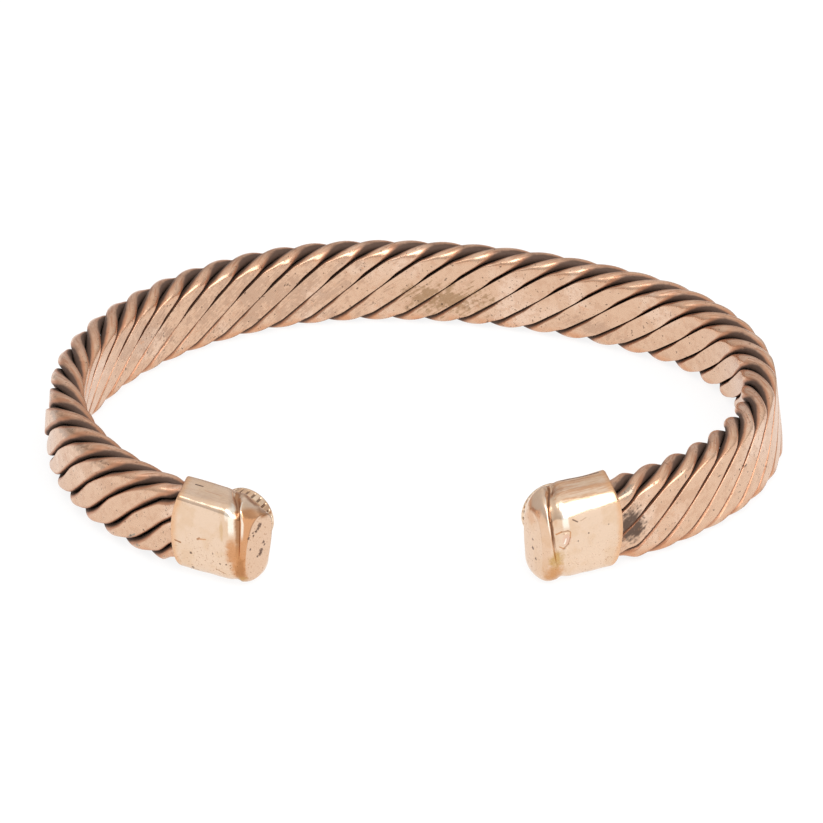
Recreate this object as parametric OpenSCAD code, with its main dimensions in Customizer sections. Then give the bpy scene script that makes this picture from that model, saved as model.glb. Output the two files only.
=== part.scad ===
// Open cuff bangle: eight copper wires twisted and rolled flat, closed by two end caps,
// each with a small toothed setting on the side that faces the wrist.
// The bangle lies on its side. The origin is on the floor, under the middle of its outline.

/* [Rope] */
// Height of the flattened rope as it lies, which is the width of the band when worn
band_h = 7.86; // [7.4:0.02:8.1]
// Thickness of the flattened rope
band_t = 3.08; // [2.8:0.02:3.3]
// Length of band in which a wire goes once round
lay_length = 25.15; // [23:0.05:30]
// Share of one turn that a wire spends on one rolled face
face_share = 0.24; // [0.17:0.005:0.25]
// Part of a turn by which the twist runs ahead at the right cap
ahead_right = 0.044; // [0:0.002:0.08]
// Part of a turn by which the twist lags behind at the left arm
behind_left = 0.035; // [0:0.002:0.08]
// Free space between neighbouring wires
wire_gap = 0.09; // [0.06:0.01:0.16]
// Free space along the middle of the rope, which the wires leave open
core_gap = 0.3; // [0.24:0.02:0.5]
// Squareness of a wire on the rolled faces, as the exponent of its outline
face_exponent = 4.6; // [3:0.1:6]
// Squareness of a wire on the rounded edges of the band
edge_exponent = 2.5; // [2.2:0.1:3]

/* [Bend to the right] */
// Radius of the bend at the back, right of its middle
back_radius_right = 46.6; // [42:0.1:52]
// Angle that this bend turns
back_turn_right = 32.7; // [29:0.1:36]
// Radius of the bend at the right side
side_radius_right = 20.1; // [19:0.1:21.5]
// Angle that this bend turns
side_turn_right = 97.8; // [92:0.1:102]
// Radius of the bend of the right arm
arm_radius_right = 30.1; // [26:0.1:36]
// Angle that this bend turns
arm_turn_right = 23.3; // [18:0.1:27]
// Lean of the band at the right side, top towards the wrist
lean_right = 7.6; // [0:0.1:10]

/* [Bend to the left] */
// Radius of the bend at the back, left of its middle
back_radius_left = 28.2; // [26:0.1:31]
// Angle that this bend turns
back_turn_left = 72.3; // [68:0.1:76]
// Radius of the bend at the left side
side_radius_left = 19.95; // [18.5:0.05:21.5]
// Angle that this bend turns
side_turn_left = 38.2; // [34:0.1:42]
// Radius of the bend of the left arm
arm_radius_left = 25.6; // [23:0.1:29]
// Angle that this bend turns
arm_turn_left = 41.5; // [37:0.1:45]
// Lean of the band at the left side, top towards the wrist
lean_left = 5; // [0:0.1:10]

/* [End caps] */
// Length of a cap from the corners of its mouth to its end
cap_length = 7.5; // [7.1:0.1:8.6]
// Height of a cap
cap_h = 8.1; // [7.9:0.02:8.6]
// Thickness of a cap, measured from its wrist side to its outer side
cap_t = 4.2; // [4:0.02:4.6]
// Radius of the long edges of a cap
cap_edge = 1; // [0.7:0.05:1.2]
// Radius of the lower outer edge of a cap, which is worn more
cap_worn_edge = 1.5; // [1.2:0.05:1.7]
// Length by which the middle of the mouth reaches out over its corners
mouth_bow = 0.8; // [0.3:0.05:1.1]
// Length by which the mouth reaches out further on the wrist side than on the outer side
mouth_skew = 1.1; // [0:0.1:1.4]
// Distance from the end of a cap back to its crease
crease_from_end = 1.25; // [1.1:0.05:1.6]
// Depth of the crease
crease_depth = 0.3; // [0.1:0.02:0.36]
// Rounding of the end plate
end_round = 0.7; // [0.3:0.05:0.75]
// Length of rope that goes into a cap
rope_seat = 2.4; // [1.8:0.1:3]
// Free space between the rope and the inside of a cap
seat_clear = 0.12; // [0.1:0.01:0.2]
// Thickness of the wall of a cap
cap_wall = 0.4; // [0.34:0.02:0.56]
// Length over which the rope is drawn in before it enters a cap
neck_run = 1.6; // [1.2:0.1:3]

/* [Toothed settings] */
// Diameter of a setting
bezel_d = 5.1; // [4.6:0.1:6.2]
// Height of a setting over the wrist side of its cap
bezel_rise = 1.25; // [1.1:0.05:1.8]
// Distance from the end of a cap to the middle of its setting
bezel_from_end = 3.2; // [3:0.05:3.8]
// Height of the middle of a setting over the underside of its cap
bezel_up = 4.45; // [4:0.05:4.6]
// Depth of the shallow dish in the face of a setting
dish_depth = 0.3; // [0.1:0.02:0.5]
// Width of the rim round the dish
bezel_rim = 0.7; // [0.5:0.05:1.2]
// Depth of the notches in the rim
notch_depth = 0.22; // [0.1:0.02:0.3]
// Free space between a setting and its cap
bezel_clear = 0.06; // [0.04:0.01:0.1]

/* [Hidden] */
wire_count = 8;
// Share of a wire's place by which the first wire stands off the middle of the outer face
first_offset = 0.5;
// Corners of a wire's outline and distance from one outline to the next
wire_sides = 10;
ring_step = 1.78;
// Share by which a wire narrows towards the middle of the rope
core_taper = 0.12;
// Distances from the back at which a shift of the twist begins and is complete
ahead_from = 50;
behind_from = 28;
behind_full = 48;
// Length by which the mouth of the left cap lies before the end of the last bend
left_mouth_back = 1.75;
// Free space in a cap behind the end of the rope
seat_spare = 0.4;
// Rounding of the lip of the mouth, and how far in the mouth's bow fades out
lip_round = 0.22;
bow_fade = 2.6;
crease_width = 0.6;
// Straight pieces in a quarter of a corner and along a tall side of a cap
corner_steps = 4;
tall_steps = 6;
// Notches of a setting, their share of the rim, and the plain foot below them
notch_count = 26;
notch_share = 0.4;
bezel_foot = 0.35;
copper = [0.80, 0.58, 0.45];
bright_copper = [0.86, 0.64, 0.50];

end_radius = band_t / 2;
straight_half = (band_h - band_t) / 2;
edge_share = 0.5 - face_share;

// Bends of a side from the back towards the opening, as radius and angle
right_bends = [
    [back_radius_right, back_turn_right],
    [side_radius_right, side_turn_right],
    [arm_radius_right, arm_turn_right]
];
left_bends = [
    [back_radius_left, back_turn_left],
    [side_radius_left, side_turn_left],
    [arm_radius_left, arm_turn_left]
];

function bend_length(bend) = bend[0] * bend[1] * PI / 180;
function total(list, i = 0) = i == len(list) ? 0 : list[i] + total(list, i + 1);
function run_of(bends) = total([for (bend = bends) bend_length(bend)]);
function turn_of(bends) = total([for (bend = bends) bend[1]]);

right_mouth = run_of(right_bends);
left_mouth = run_of(left_bends) - left_mouth_back;

// Reach of the middle line to the side, where it has turned a quarter
function reach(bends, i = 0, turned = 0, x = 0) =
    let (radius = bends[i][0], next = turned + bends[i][1])
    next >= 90
    ? x + radius * (1 - sin(turned))
    : reach(bends, i + 1, next, x + radius * (sin(next) - sin(turned)));

// Point of the middle line at a distance from the back, and the angle turned there
function walk(bends, along, i = 0, turned = 0, x = 0, y = 0) =
    i == len(bends)
    ? [x + along * cos(turned), y - along * sin(turned), turned]
    : let (
        radius = bends[i][0],
        run = bend_length(bends[i]),
        next = turned + min(along, run) / radius * 180 / PI,
        nx = x + radius * (sin(next) - sin(turned)),
        ny = y + radius * (cos(next) - cos(turned))
    )
    along <= run ? [nx, ny, next] : walk(bends, along - run, i + 1, next, nx, ny);

// Shift of the back of the rope that brings the middle of the outline over the origin
function side_reach(bends, lean) = reach(bends) + end_radius + straight_half * sin(lean);
function front_reach(bends, mouth) =
    let (at = walk(bends, mouth), turned = turn_of(bends))
    at[1] - cap_length * sin(turned) + cap_t / 2 * cos(turned)
    - end_round * (1 - sin(turned) + cos(turned));
back_x = (side_reach(left_bends, lean_left) - side_reach(right_bends, lean_right)) / 2;
front_y = min(front_reach(right_bends, right_mouth), front_reach(left_bends, left_mouth));
back_y = -(end_radius + front_y) / 2;

// Share of the way from a to b, eased at both ends
function ease(a, b, x) = let (k = min(max((x - a) / (b - a), 0), 1)) k * k * (3 - 2 * k);

// How far the rope is drawn in at s: 0 in the open, 1 inside a cap
function neck(s) =
    let (start = (s < 0 ? left_mouth : right_mouth) - mouth_bow - mouth_skew / 2)
    ease(start - neck_run, start, abs(s));

// Place on the band: s along the middle line, out from it, up from the middle of the height
function place(s, out, up) =
    let (
        way = s < 0 ? -1 : 1,
        at = walk(s < 0 ? left_bends : right_bends, abs(s)),
        turned = way * at[2],
        lean = (s < 0 ? lean_left : lean_right) * pow(sin(turned), 2) * (1 - neck(s)),
        level = out * cos(lean) - up * sin(lean)
    )
    [
        back_x + way * at[0] + level * sin(turned),
        back_y + at[1] + level * cos(turned),
        band_h / 2 + (cap_h - band_h) / 2 * neck(s) + out * sin(lean) + up * cos(lean)
    ];

// Radius of the rope's rounded edges and half of its straight height, drawn in at the caps
neck_radius = min(end_radius, cap_t / 2 - cap_wall - seat_clear);
neck_straight = cap_h / 2 - cap_wall - seat_clear - neck_radius;
function radius_at(s) = end_radius + (neck_radius - end_radius) * neck(s);
function straight_at(s) = straight_half + (neck_straight - straight_half) * neck(s);

// Turns of the twist from the back to s
function twist(s) =
    s / lay_length + ahead_right * ease(ahead_from, right_mouth, s)
    + behind_left * ease(behind_from, behind_full, -s);

// Point of the rope's section at a share of a turn from the middle of the outer face over
// the top, and at a depth under the surface
function section(turn, depth, straight, radius) =
    let (
        c = turn - floor(turn),
        r = radius - depth,
        top = (c - face_share / 2) / edge_share * 180,
        inner = (c - 0.5) / face_share * 2 * straight,
        under = (c - 0.5 - face_share / 2) / edge_share * 180,
        outer = (c < 0.5 ? c : c - 1) / face_share * 2 * straight
    )
    abs(outer) <= straight ? [r, outer]
    : top <= 180 ? [r * cos(top), straight + r * sin(top)]
    : inner <= straight ? [-r, -inner]
    : [-r * cos(under), -straight - r * sin(under)];

function power(x, e) = x < 0 ? -pow(-x, e) : pow(x, e);

// Outline of wire k at s: a rounded cell that takes one part of the turn, from the surface
// down to the middle of the rope
function wire_ring(k, s) =
    let (
        radius = radius_at(s),
        straight = straight_at(s),
        girth = 4 * straight + 2 * PI * radius,
        middle = (k - first_offset) / wire_count - twist(s),
        roundness = pow(sin(360 * middle), 2),
        e = 2 / (face_exponent + (edge_exponent - face_exponent) * roundness),
        wide = 1 / wire_count - wire_gap / girth,
        deep = radius - core_gap / 2
    )
    [
        for (i = [0:wire_sides - 1])
            let (
                a = 90 + i * 360 / wire_sides,
                low = (1 - power(sin(a), e)) / 2,
                turn = middle + wide / 2 * (1 - core_taper * low) * power(cos(a), e),
                depth = deep * low,
                at = section(turn, depth, straight, radius)
            )
            place(s, at[0], at[1])
    ];

wire_start = -left_mouth - rope_seat;
wire_end = right_mouth + rope_seat;
ring_count = round((wire_end - wire_start) / ring_step);

// Closed skin over a list of rings. Its squares are split one way on the first half of a
// ring and the other way on the second, so that facing sides of neighbours run level.
// Each end is a fan of triangles from the third point of its ring
function skin(rings, sides) = [
    for (j = [0:len(rings) - 2])
        for (i = [0:sides - 1])
            let (a = j * sides + i, b = j * sides + (i + 1) % sides)
            each (i < sides / 2
                ? [[a, b, b + sides], [a, b + sides, a + sides]]
                : [[a, b, a + sides], [b, b + sides, a + sides]]),
    for (k = [3:sides])
        let (b = k % sides, c = (k + 1) % sides, last = (len(rings) - 1) * sides)
        each [[c, b, 2], [last + 2, last + b, last + c]]
];

module wire(k) {
    length = wire_end - wire_start;
    rings = [
        for (j = [0:ring_count])
            wire_ring(k, wire_start + length * j / ring_count)
    ];
    color(copper)
        polyhedron(points = [for (ring = rings) each ring], faces = skin(rings, wire_sides));
}

module strand_1() { wire(1); }
module strand_2() { wire(2); }
module strand_3() { wire(3); }
module strand_4() { wire(4); }
module strand_5() { wire(5); }
module strand_6() { wire(6); }
module strand_7() { wire(7); }
module strand_8() { wire(8); }

// Places its children at a cap: x from the corners of the mouth to the end, y outwards
module at_cap(bends, mouth, side) {
    at = walk(bends, mouth);
    translate([back_x, back_y, 0])
        mirror([side < 0 ? 1 : 0, 0, 0])
            translate([at[0], at[1], 0])
                rotate([0, 0, -turn_of(bends)])
                    children();
}

// Outline of a cap drawn in by an inset, from the middle of the outer side downwards.
// It takes a share of the mouth's bow and skew
function cap_ring(x, inset, mouth) =
    let (
        half = cap_t / 2 - inset,
        edge = cap_edge - min(inset, cap_edge / 2),
        worn = cap_worn_edge - min(inset, cap_worn_edge / 2),
        low = inset,
        high = cap_h - inset,
        corners = [
            [half - worn, low + worn, worn, 0],
            [edge - half, low + edge, edge, 90],
            [edge - half, high - edge, edge, 180],
            [half - edge, high - edge, edge, 270]
        ],
        arcs = [
            for (corner = corners)
                for (k = [0:corner_steps])
                    let (a = corner[3] + 90 * k / corner_steps)
                    [corner[0] + corner[2] * cos(a), corner[1] - corner[2] * sin(a)]
        ],
        quarter = 2 * (corner_steps + 1),
        inner = [
            for (k = [1:tall_steps - 1])
                let (z = low + edge + (high - low - 2 * edge) * k / tall_steps)
                [-half, z]
        ],
        outer = [
            for (k = [tall_steps - 1:-1:1])
                let (z = low + worn + (high - low - worn - edge) * k / tall_steps)
                [half, z]
        ],
        loop = concat(
            [for (k = [0:quarter - 1]) arcs[k]],
            inner,
            [for (k = [quarter:2 * quarter - 1]) arcs[k]],
            outer
        )
    )
    [
        for (p = loop)
            let (bow = mouth_bow * (1 - pow(2 * p[1] / cap_h - 1, 2)), skew = mouth_skew * p[0] / cap_t)
            [x + mouth * (skew - bow), p[0], p[1]]
    ];

crease_x = cap_length - crease_from_end;

module cap() {
    rings = [
        cap_ring(rope_seat + seat_spare, cap_wall, 0),
        cap_ring(0, cap_wall, 1),
        cap_ring(0, lip_round, 1),
        cap_ring(lip_round, 0, 1),
        cap_ring(bow_fade, 0, 0),
        cap_ring(crease_x - crease_width / 2, 0, 0),
        cap_ring(crease_x, crease_depth, 0),
        cap_ring(crease_x + crease_width / 2, 0, 0),
        for (a = [0:30:90])
            cap_ring(cap_length - end_round * (1 - sin(a)), end_round * (1 - cos(a)), 0)
    ];
    color(bright_copper)
        polyhedron(
            points = [for (ring = rings) each ring],
            faces = skin(rings, len(rings[0]))
        );
}

module end_cap_left() { at_cap(left_bends, left_mouth, -1) cap(); }
module end_cap_right() { at_cap(right_bends, right_mouth, 1) cap(); }

// Round setting on the wrist side of a cap, with a notched rim round a shallow dish
module bezel() {
    tall = bezel_rise - bezel_clear;
    notch_w = notch_share * PI * bezel_d / notch_count;
    color(bright_copper)
        translate([cap_length - bezel_from_end, -cap_t / 2 - bezel_clear, bezel_up])
            rotate([90, 0, 0])
                difference() {
                    cylinder(h = tall, d = bezel_d, $fn = 64);
                    translate([0, 0, tall - dish_depth])
                        cylinder(h = tall, d = bezel_d - 2 * bezel_rim, $fn = 64);
                    for (i = [0:notch_count - 1])
                        rotate([0, 0, i * 360 / notch_count])
                            translate([bezel_d / 2 - notch_depth, -notch_w / 2, bezel_foot])
                                cube([bezel_d, notch_w, tall]);
                }
}

module bezel_left() { at_cap(left_bends, left_mouth, -1) bezel(); }
module bezel_right() { at_cap(right_bends, right_mouth, 1) bezel(); }

strand_1();
strand_2();
strand_3();
strand_4();
strand_5();
strand_6();
strand_7();
strand_8();
end_cap_left();
end_cap_right();
bezel_left();
bezel_right();
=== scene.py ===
import math
from functools import partial

import bmesh
import bpy
from mathutils import Matrix, Vector
from mathutils.noise import noise as noiseAt


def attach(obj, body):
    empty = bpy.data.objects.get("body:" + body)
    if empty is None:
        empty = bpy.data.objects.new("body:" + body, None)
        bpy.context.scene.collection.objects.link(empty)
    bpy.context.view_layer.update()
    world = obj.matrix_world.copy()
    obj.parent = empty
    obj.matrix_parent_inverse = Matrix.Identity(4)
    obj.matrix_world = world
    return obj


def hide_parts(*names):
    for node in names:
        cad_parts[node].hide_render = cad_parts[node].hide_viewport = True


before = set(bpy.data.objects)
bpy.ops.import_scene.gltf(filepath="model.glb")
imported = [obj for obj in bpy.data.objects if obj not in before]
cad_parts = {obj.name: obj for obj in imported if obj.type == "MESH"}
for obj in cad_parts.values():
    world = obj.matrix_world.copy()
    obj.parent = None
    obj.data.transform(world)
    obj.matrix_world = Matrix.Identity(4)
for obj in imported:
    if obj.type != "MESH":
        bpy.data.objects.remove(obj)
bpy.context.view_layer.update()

scene = bpy.context.scene
mm = 0.001


# a socket that takes part in arithmetic, for shader and geometry trees alike
class Val:
    def __init__(self, tree, socket):
        self.tree, self.socket = tree, socket

    def math(self, operation, *values, clamp=False):
        return makeNode(self.tree, "ShaderNodeMath",
                        {"operation": operation, "use_clamp": clamp}, dict(enumerate(values)))[0]

    def fn(self, operation, *others):
        return self.math(operation, self, *others)

    def clamp(self):
        return self.math("ADD", self, 0.0, clamp=True)

    def __add__(self, other):
        return self.math("ADD", self, other)

    def __radd__(self, other):
        return self.math("ADD", other, self)

    def __sub__(self, other):
        return self.math("SUBTRACT", self, other)

    def __rsub__(self, other):
        return self.math("SUBTRACT", other, self)

    def __mul__(self, other):
        return self.math("MULTIPLY", self, other)

    def __rmul__(self, other):
        return self.math("MULTIPLY", other, self)

    def __truediv__(self, other):
        return self.math("DIVIDE", self, other)

    def __rtruediv__(self, other):
        return self.math("DIVIDE", other, self)

    def __pow__(self, other):
        return self.math("POWER", self, other)

    def __neg__(self):
        return self.math("MULTIPLY", self, -1.0)

    def __abs__(self):
        return self.math("ABSOLUTE", self)

    def __gt__(self, other):
        return self.math("GREATER_THAN", self, other)

    def __lt__(self, other):
        return self.math("LESS_THAN", self, other)


# adds a node: its type, its settings, then the values or links of its sockets
def makeNode(tree, kind, settings=None, sockets=None):
    node = tree.nodes.new(kind)
    for key, value in (settings or {}).items():
        if key == "stops":
            fillRamp(node.color_ramp.elements, value)
        elif key == "items":
            for item in value:
                node.capture_items.new("FLOAT", item)
        else:
            setattr(node, key, value)
    for key, value in (sockets or {}).items():
        socket = (node.inputs[key] if isinstance(key, int)
                  else next(s for s in node.inputs if s.name == key and s.enabled))
        if isinstance(value, Val):
            tree.links.new(value.socket, socket)
        else:
            socket.default_value = value
    return [Val(tree, out) for out in node.outputs if out.enabled]


def fillRamp(stops, wanted):
    while len(stops) > 1:
        stops.remove(stops[-1])
    stops[0].position, stops[0].color = wanted[0]
    for at, colour in wanted[1:]:
        stops.new(at).color = colour


# 0 before low, 1 after high, eased between
def smooth(low, high, value):
    return makeNode(value.tree, "ShaderNodeMapRange", {"interpolation_type": "SMOOTHSTEP"},
                    {0: value, 1: low, 2: high, 3: 0.0, 4: 1.0})[0]


# the same for plain numbers
def eased(low, high, value):
    k = between(0, 1, (value - low) / (high - low))
    return k * k * (3 - 2 * k)


def between(low, high, value):
    return max(low, min(high, value))


# picture values 0..255 to linear light
def rgb(red, green, blue):
    return tuple((c / 255 / 12.92 if c / 255 <= 0.04045 else ((c / 255 + 0.055) / 1.055) ** 2.4)
                 for c in (red, green, blue)) + (1.0,)


# the band's section, and its middle line as bends from the back outwards: radius and angle
band = {
    "height": 7.86, "thickness": 3.08,
    "rightBends": [(46.6, 32.7), (20.1, 97.8), (30.1, 23.3)],
    "leftBends": [(28.2, 72.3), (19.95, 38.2), (25.6, 41.5)],
    "leftMouthBack": 1.75, "leanRight": 7.6, "leanLeft": 5.0, "linePoints": 720,
}
# the caps as plain boxes, which set where the rope ends and where the bangle lies
cap = {
    "length": 7.5, "height": 8.1, "thickness": 4.2, "mouthBow": 0.8, "endRound": 0.7,
    "seat": 2.4,
}
tiny = 1e-9  # a length of no account


# length of a run of bends
def bendRun(bends):
    return sum(radius * math.radians(angle) for radius, angle in bends)


# how far a run of bends turns in all
def bendTurn(bends):
    return math.radians(sum(angle for radius, angle in bends))


# place and heading at a length along the bends, from the back outwards
def walk(bends, along):
    turned = x = y = 0.0
    for radius, angle in bends:
        step = min(along, radius * math.radians(angle))
        ahead = turned + step / radius
        x += radius * (math.sin(ahead) - math.sin(turned))
        y += radius * (math.cos(ahead) - math.cos(turned))
        turned, along = ahead, along - step
        if along <= tiny:
            return x, y, turned
    return x + along * math.cos(turned), y - along * math.sin(turned), turned


# how far the band reaches to one side
def sideReach(bends, lean):
    turned = x = 0.0
    for radius, angle in bends:
        ahead = turned + math.radians(angle)
        if ahead >= math.pi / 2:
            x += radius * (1 - math.sin(turned))
            break
        x += radius * (math.sin(ahead) - math.sin(turned))
        turned = ahead
    endRadius = band["thickness"] / 2
    straight = (band["height"] - band["thickness"]) / 2
    return x + endRadius + straight * math.sin(math.radians(lean))


# how far a cap reaches to the front
def frontReach(bends, mouth):
    y = walk(bends, mouth)[1]
    turned = bendTurn(bends)
    return (y - cap["length"] * math.sin(turned) + cap["thickness"] / 2 * math.cos(turned)
            - cap["endRound"] * (1 - math.sin(turned) + math.cos(turned)))


rightMouth = bendRun(band["rightBends"])
leftMouth = bendRun(band["leftBends"]) - band["leftMouthBack"]
wireStart, wireEnd = -leftMouth - cap["seat"], rightMouth + cap["seat"]
backX = (sideReach(band["leftBends"], band["leanLeft"])
         - sideReach(band["rightBends"], band["leanRight"])) / 2
backY = -(band["thickness"] / 2 + min(frontReach(band["rightBends"], rightMouth),
                                      frontReach(band["leftBends"], leftMouth))) / 2


# camera as fitted to the photograph, 29 degrees above the floor and 400 mm away
view = {
    "elevation": 0.5061, "away": 0.4, "lens": 195.97, "sensor": 36, "clip": (0.01, 20),
    "aimRight": 3.028, "aimBack": -25.624,  # from the middle of the back, in millimetres
}


def makeCamera():
    camera = bpy.data.objects.new("camera", bpy.data.cameras.new("camera"))
    scene.collection.objects.link(camera)
    scene.camera = camera
    camera.data.sensor_width = view["sensor"]
    camera.data.lens = view["lens"]
    camera.data.clip_start, camera.data.clip_end = view["clip"]
    lookAt = Vector((backX + view["aimRight"], backY + view["aimBack"], band["height"] / 2)) * mm
    back = Vector((0, -math.cos(view["elevation"]), math.sin(view["elevation"])))
    eye = lookAt + view["away"] * back
    camera.location = eye
    camera.rotation_euler = (lookAt - eye).to_track_quat("-Z", "Y").to_euler()
    print("camera in place", tuple(round(v, 4) for v in eye))


makeCamera()


# helper curve along the middle line, in millimetres, from the left end to the right end
def middleLine():
    curve = bpy.data.curves.new("middleLine", "CURVE")
    curve.dimensions = "3D"
    spline = curve.splines.new("POLY")
    last = band["linePoints"] - 1
    spline.points.add(last)
    for i in range(last + 1):
        s = wireStart + (wireEnd - wireStart) * i / last
        x, y = walk(band["leftBends"] if s < 0 else band["rightBends"], abs(s))[:2]
        spline.points[i].co = (backX + math.copysign(x, s), backY + y, 0, 1)
    return bpy.data.objects.new("middleLine", curve)


# a wire's section is a cell of the rope: squared on the rolled faces, round on the band's edges
wires = {
    "count": 8, "layLength": 25.15, "gap": 0.04, "rings": 560, "sides": 56,
    # share of a turn on one rolled face, how much more on the inner one, and on its lower half
    "faceShare": 0.23, "innerMore": 0.026, "lowMore": 0.014,
    # shares of a turn that the twist gains towards each cap, and from where along the band
    "aheadRight": 0.044, "aheadFrom": 50, "behindLeft": 0.035, "behindFrom": 28, "behindFull": 48,
    # free space in the rope's core, how cells narrow towards it, and the neck in the caps
    "coreGap": 0.3, "coreTaper": 0.12, "neckStraight": 2.05, "neckRun": 1.3,
    # squareness of a cell before rolling, on the rolled face and on the band's edges
    "plainExponent": 2.6, "faceExponent": 9.0, "edgeExponent": 2.0,
    "roundFrom": 0.0, "roundFull": 0.13, "shoulder": 0.02, "softShoulder": 0.1,
    # how deep a cell is widest, as a share of its depth; opened grooves lie deeper and rounder
    "bellyFace": 0.5, "bellyEdge": 0.78, "bellyOpened": 0.2, "openedRounder": 0.75,
    # by how much the round wire would stand over the rolled face, and softness of that fold
    "swell": 0.32, "swellUnrolled": 0.3, "fold": 0.05,
    # wires that stand off the rope: by how much and where, over this half length
    "bulged": {3: (0.3, -44.0)}, "bulgeHalf": 2.2,
    # along the band, place and share: how far the grooves opened, the outer face moved up
    # and the rope was rolled flat
    "opened": [(-70, 0.3), (-40, 0.3), (-20, 0.0), (8, 0.0), (30, 0.5), (44, 0.9), (80, 0.9)],
    "skewed": [(-70, 0.012), (-44, 0.012), (-28, 0.0), (80, 0.0)],
    "flatness": [(-70, 0.25), (-44, 0.3), (-34, 0.8), (-24, 1.0), (80, 1.0)],
    # small unevenness of the twist along the band: place and share of a turn
    "drift": [(-60, 0.004), (-55, 0.008), (-48, 0.011), (-40, 0.005), (-30, -0.006),
              (-16, -0.014), (-10, -0.010), (-4, -0.004), (8, 0.0), (14, -0.006), (20, -0.010),
              (27, -0.012), (33, -0.005), (39, 0.008), (48, 0.0), (56, -0.015), (70, -0.016)],
}


# an empty tree with named inputs, the inputs as values, and what a modifier calls each
def openTree(name, inputs):
    tree = bpy.data.node_groups.new(name, "GeometryNodeTree")
    tree.is_modifier = True
    names = {}
    for label, kind in inputs:
        socket = tree.interface.new_socket(name=label, in_out="INPUT",
                                           socket_type="NodeSocket" + kind)
        names[label] = socket.identifier
    tree.interface.new_socket(name="Geometry", in_out="OUTPUT", socket_type="NodeSocketGeometry")
    given = {out.name: Val(tree, out) for out in tree.nodes.new("NodeGroupInput").outputs}
    return tree, given, names


# a plain tube of rings and sides, each point knowing its share along and around
def plainTube(node, rings, sides):
    share = node("GeometryNodeSplineParameter")[0]
    line = node("GeometryNodeCurvePrimitiveLine", None, {"End": (1, 0, 0)})[0]
    line = node("GeometryNodeResampleCurve", {"mode": "COUNT"}, {"Curve": line, "Count": rings})[0]
    line, along = node("GeometryNodeCaptureAttribute", {"items": ["along"]},
                       {"Geometry": line, "along": share})[:2]
    ring = node("GeometryNodeCurvePrimitiveCircle", None, {"Resolution": sides, "Radius": 0.1})[0]
    ring, around = node("GeometryNodeCaptureAttribute", {"items": ["around"]},
                        {"Geometry": ring, "around": share})[:2]
    tube = node("GeometryNodeCurveToMesh", None,
                {"Curve": line, "Profile Curve": ring, "Fill Caps": True})[0]
    return tube, along, around


# moves a tube's points to their places, keeps values for its material and ends the tree
def closeShape(tree, node, tube, place, kept, copper):
    tube = node("GeometryNodeSetPosition", None, {"Geometry": tube, "Position": place})[0]
    for name, value in kept.items():
        tube = node("GeometryNodeStoreNamedAttribute", {"data_type": "FLOAT", "domain": "POINT"},
                    {"Geometry": tube, "Name": name, "Value": value})[0]
    tube = node("GeometryNodeSetShadeSmooth", None, {0: tube})[0]
    tube = node("GeometryNodeRealizeInstances", None, {0: tube})[0]
    tube = node("GeometryNodeSetMaterial", None, {"Geometry": tube, "Material": copper})[0]
    tree.links.new(tube.socket, tree.nodes.new("NodeGroupOutput").inputs[0])


# how fast a wire climbs: quicker over the rolled faces, slower over the edges, eased
def climbed(turn, straight, radius, share):
    faceRate = straight / share
    edgeRate = radius * (math.pi / 2) / (0.25 - share)
    past = turn - share
    soft = ((past + (past * past + wires["shoulder"] ** 2).fn("SQRT")) / 2
            - ((share * share + wires["shoulder"] ** 2).fn("SQRT") - share) / 2)
    return faceRate * turn - (faceRate - edgeRate) * soft


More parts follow.
